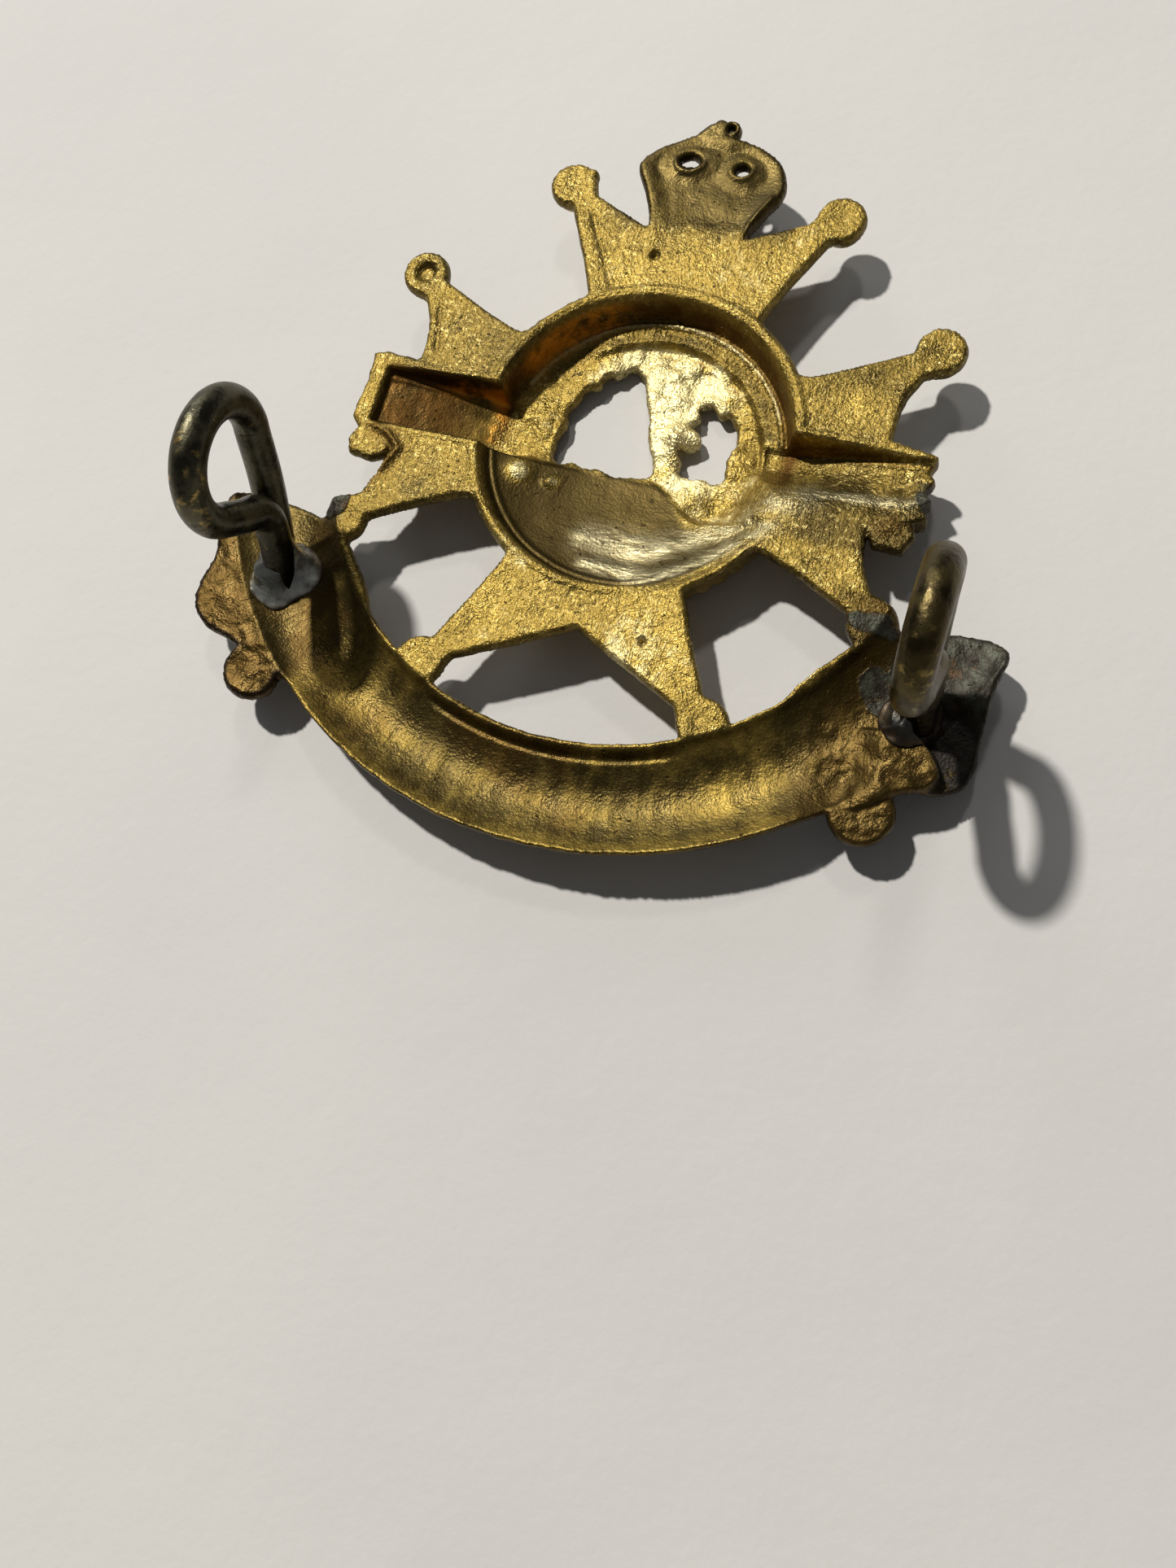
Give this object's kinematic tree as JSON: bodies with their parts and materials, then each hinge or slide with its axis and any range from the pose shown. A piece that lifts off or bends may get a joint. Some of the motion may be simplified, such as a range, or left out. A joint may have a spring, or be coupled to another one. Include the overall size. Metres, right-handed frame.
{
  "type": "cap badge",
  "caption": "Die-struck metal cap badge: ball-tipped star round a hollow centre, with a ribbon, a crown, a curved scroll and wire loop lugs behind.",
  "frame": {"origin": "under the middle of the plate's outline, at the level of the front crest that the badge lies on", "axes": "+Z out of the back, along the lugs; +Y towards the crown; +X to the right seen from the back"},
  "size_m": [0.0444, 0.0436, 0.0157],
  "materials": {
    "gilding_metal": "struck and gilt, worn and stained",
    "lug_wire": "dark patina over bare wire",
    "solder": "smooth, dull, with dark flux"
  },
  "bodies": {
    "root": {"badge_plate": "gilding_metal", "left_lug": "lug_wire", "right_lug": "lug_wire", "left_solder": "solder", "right_solder": "solder"}
  },
  "joints": []
}
